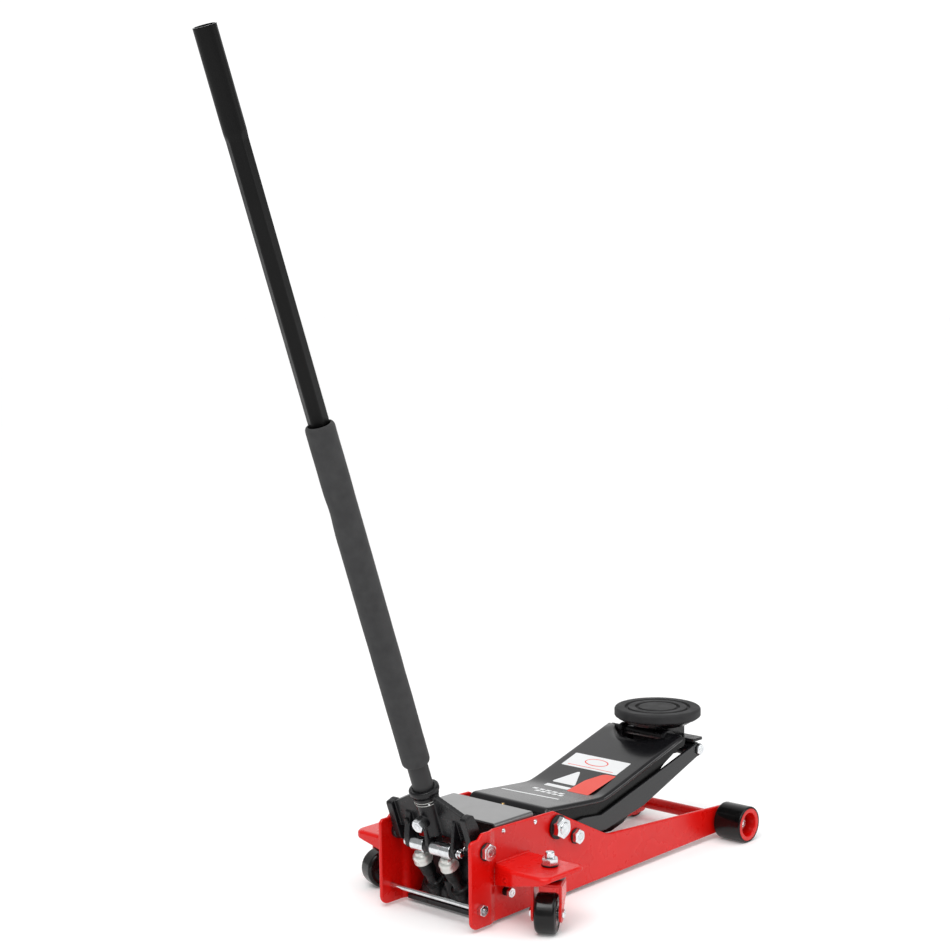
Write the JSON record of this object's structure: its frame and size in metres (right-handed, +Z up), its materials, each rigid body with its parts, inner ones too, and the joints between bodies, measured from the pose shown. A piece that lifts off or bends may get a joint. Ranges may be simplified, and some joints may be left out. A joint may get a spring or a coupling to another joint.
{
  "type": "trolley jack",
  "caption": "Low-profile trolley jack: pressed side plates, lift arm with round rubber-padded saddle, twin-plunger hand pump, long handle with foam grip, front rollers and rear casters.",
  "frame": {"origin": "on the floor under the middle of the bounding box, handle at its drawn angle and saddle part raised", "axes": "+X from the handle end to the saddle end, +Y to the left of the jack, +Z up"},
  "size_m": [0.8586, 0.3207, 1.0279],
  "materials": {
    "red_paint": "gloss red powder coat",
    "black_gloss": "gloss black enamel",
    "black_cast": "satin black paint over cast and formed steel",
    "zinc": "bright zinc plating",
    "brass": "plain brass",
    "pad_rubber": "matte dark grey rubber",
    "foam": "matte closed-cell foam",
    "wheel_nylon": "smooth black nylon"
  },
  "bodies": {
    "frame": {"base_plate": "black_gloss", "top_cover": "black_gloss", "rear_tie_rod": "zinc", "main_pivot_shaft": "zinc", "front_axle": "zinc", "front_axle_tube": "red_paint", "pump_block": "black_cast", "ram_cylinder": "black_cast", "filler_plug": "brass", "side_plate_right": "red_paint", "tie_rod_nut_right": "zinc", "main_pivot_nut_right": "zinc", "link_bolt_right": "zinc", "socket_bolt_right": "zinc", "axle_nut_right": "zinc", "caster_bracket_right": "red_paint", "caster_stem_right": "zinc", "caster_race_right": "black_gloss", "side_plate_left": "red_paint", "tie_rod_nut_left": "zinc", "main_pivot_nut_left": "zinc", "link_bolt_left": "zinc", "socket_bolt_left": "zinc", "axle_nut_left": "zinc", "caster_bracket_left": "red_paint", "caster_stem_left": "zinc", "caster_race_left": "black_gloss"},
    "arm": {"lift_arm": "black_gloss", "thrust_pin": "zinc", "saddle_pin": "zinc"},
    "link_right": {"lift_link_right": "black_gloss"},
    "link_left": {"lift_link_left": "black_gloss"},
    "saddle_carrier": {"saddle_bracket": "black_cast", "link_front_bolt_right": "zinc", "link_front_bolt_left": "zinc"},
    "saddle": {"saddle_cup": "black_cast", "saddle_pad": "pad_rubber"},
    "ram": {"ram_rod": "zinc"},
    "socket": {"handle_socket": "black_cast", "roller_pin": "zinc", "clamp_bolt": "zinc"},
    "handle": {"lower_handle": "black_gloss", "foam_grip": "foam"},
    "handle_top": {"upper_handle": "black_gloss"},
    "release": {"release_spindle": "black_cast"},
    "plunger_right": {"pump_plunger_right": "zinc"},
    "pump_roll_right": {"pump_roller_right": "zinc"},
    "front_roller_right": {"front_hub_right": "red_paint", "front_sleeve_right": "wheel_nylon"},
    "caster_right": {"caster_fork_right": "red_paint", "caster_axle_right": "zinc"},
    "caster_roll_right": {"caster_wheel_right": "wheel_nylon"},
    "plunger_left": {"pump_plunger_left": "zinc"},
    "pump_roll_left": {"pump_roller_left": "zinc"},
    "front_roller_left": {"front_hub_left": "red_paint", "front_sleeve_left": "wheel_nylon"},
    "caster_left": {"caster_fork_left": "red_paint", "caster_axle_left": "zinc"},
    "caster_roll_left": {"caster_wheel_left": "wheel_nylon"}
  },
  "joints": [
    {"name": "lift", "type": "hinge", "parent": "frame", "child": "arm", "pos_m": [0.04633, 0, 0.095], "axis": [0, -1, 0], "range_deg": [-19, 45]},
    {"name": "link_swing_right", "type": "hinge", "parent": "frame", "child": "link_right", "pos_m": [0.08233, -0.0615, 0.075], "axis": [0, -1, 0], "range_deg": [-19, 45]},
    {"name": "link_swing_left", "type": "hinge", "parent": "frame", "child": "link_left", "pos_m": [0.08233, 0.0615, 0.075], "axis": [0, -1, 0], "range_deg": [-19, 45]},
    {"name": "saddle_level", "type": "hinge", "parent": "arm", "child": "saddle_carrier", "pos_m": [0.32533, 0, 0.151], "axis": [0, -1, 0], "range_deg": [-45, 19]},
    {"name": "saddle_swivel", "type": "hinge", "parent": "saddle_carrier", "child": "saddle", "pos_m": [0.35233, 0, 0.16], "axis": [0, 0, 1], "continuous": true},
    {"name": "ram_push", "type": "slide", "parent": "frame", "child": "ram", "axis": [1, 0, 0], "range_m": [-0.01373, 0.03238]},
    {"name": "pump_stroke", "type": "hinge", "parent": "frame", "child": "socket", "pos_m": [-0.09067, 0, 0.096], "axis": [0, -1, 0], "range_deg": [-6, 50]},
    {"name": "plunger_push_right", "type": "slide", "parent": "frame", "child": "plunger_right", "axis": [0.5, 0, -0.866], "range_m": [-0.0015, 0.01179]},
    {"name": "plunger_push_left", "type": "slide", "parent": "frame", "child": "plunger_left", "axis": [0.5, 0, -0.866], "range_m": [-0.0015, 0.01179]},
    {"name": "pump_roller_spin_right", "type": "hinge", "parent": "socket", "child": "pump_roll_right", "pos_m": [-0.10267, -0.0192, 0.0902], "axis": [0, 1, 0], "continuous": true},
    {"name": "pump_roller_spin_left", "type": "hinge", "parent": "socket", "child": "pump_roll_left", "pos_m": [-0.10267, 0.0193, 0.0902], "axis": [0, 1, 0], "continuous": true},
    {"name": "release_twist", "type": "hinge", "parent": "socket", "child": "handle", "pos_m": [-0.09067, 0, 0.096], "axis": [-0.3322, 0, 0.9432], "range_deg": [0, 180]},
    {"name": "spindle_turn", "type": "hinge", "parent": "frame", "child": "release", "pos_m": [-0.09067, 0, 0.096], "axis": [-0.3322, 0, 0.9432], "range_deg": [0, 180]},
    {"name": "handle_pull", "type": "slide", "parent": "handle", "child": "handle_top", "axis": [-0.3322, 0, 0.9432], "range_m": [0, 0.05]},
    {"name": "front_roll_right", "type": "hinge", "parent": "frame", "child": "front_roller_right", "pos_m": [0.40433, -0.09725, 0.025], "axis": [0, 1, 0], "continuous": true},
    {"name": "caster_swivel_right", "type": "hinge", "parent": "frame", "child": "caster_right", "pos_m": [-0.03467, -0.129, 0.061], "axis": [0, 0, 1], "continuous": true},
    {"name": "caster_spin_right", "type": "hinge", "parent": "caster_right", "child": "caster_roll_right", "pos_m": [-0.05199, -0.139, 0.0245], "axis": [-0.5, 0.866, 0], "continuous": true},
    {"name": "front_roll_left", "type": "hinge", "parent": "frame", "child": "front_roller_left", "pos_m": [0.40433, 0.09725, 0.025], "axis": [0, 1, 0], "continuous": true},
    {"name": "caster_swivel_left", "type": "hinge", "parent": "frame", "child": "caster_left", "pos_m": [-0.03467, 0.129, 0.061], "axis": [0, 0, 1], "continuous": true},
    {"name": "caster_spin_left", "type": "hinge", "parent": "caster_left", "child": "caster_roll_left", "pos_m": [-0.05346, 0.13584, 0.0245], "axis": [0.342, 0.9397, 0], "continuous": true}
  ],
  "couplings": [
    {"joint": "link_swing_right", "follows": "lift", "ratio": 1},
    {"joint": "link_swing_left", "follows": "lift", "ratio": 1},
    {"joint": "saddle_level", "follows": "lift", "ratio": -1},
    {"joint": "ram_push", "follows": "lift", "m_per_rad": 0.041104},
    {"joint": "plunger_push_right", "follows": "pump_stroke", "m_per_rad": 0.0134},
    {"joint": "plunger_push_left", "follows": "pump_stroke", "m_per_rad": 0.0134},
    {"joint": "spindle_turn", "follows": "release_twist", "ratio": 1}
  ]
}
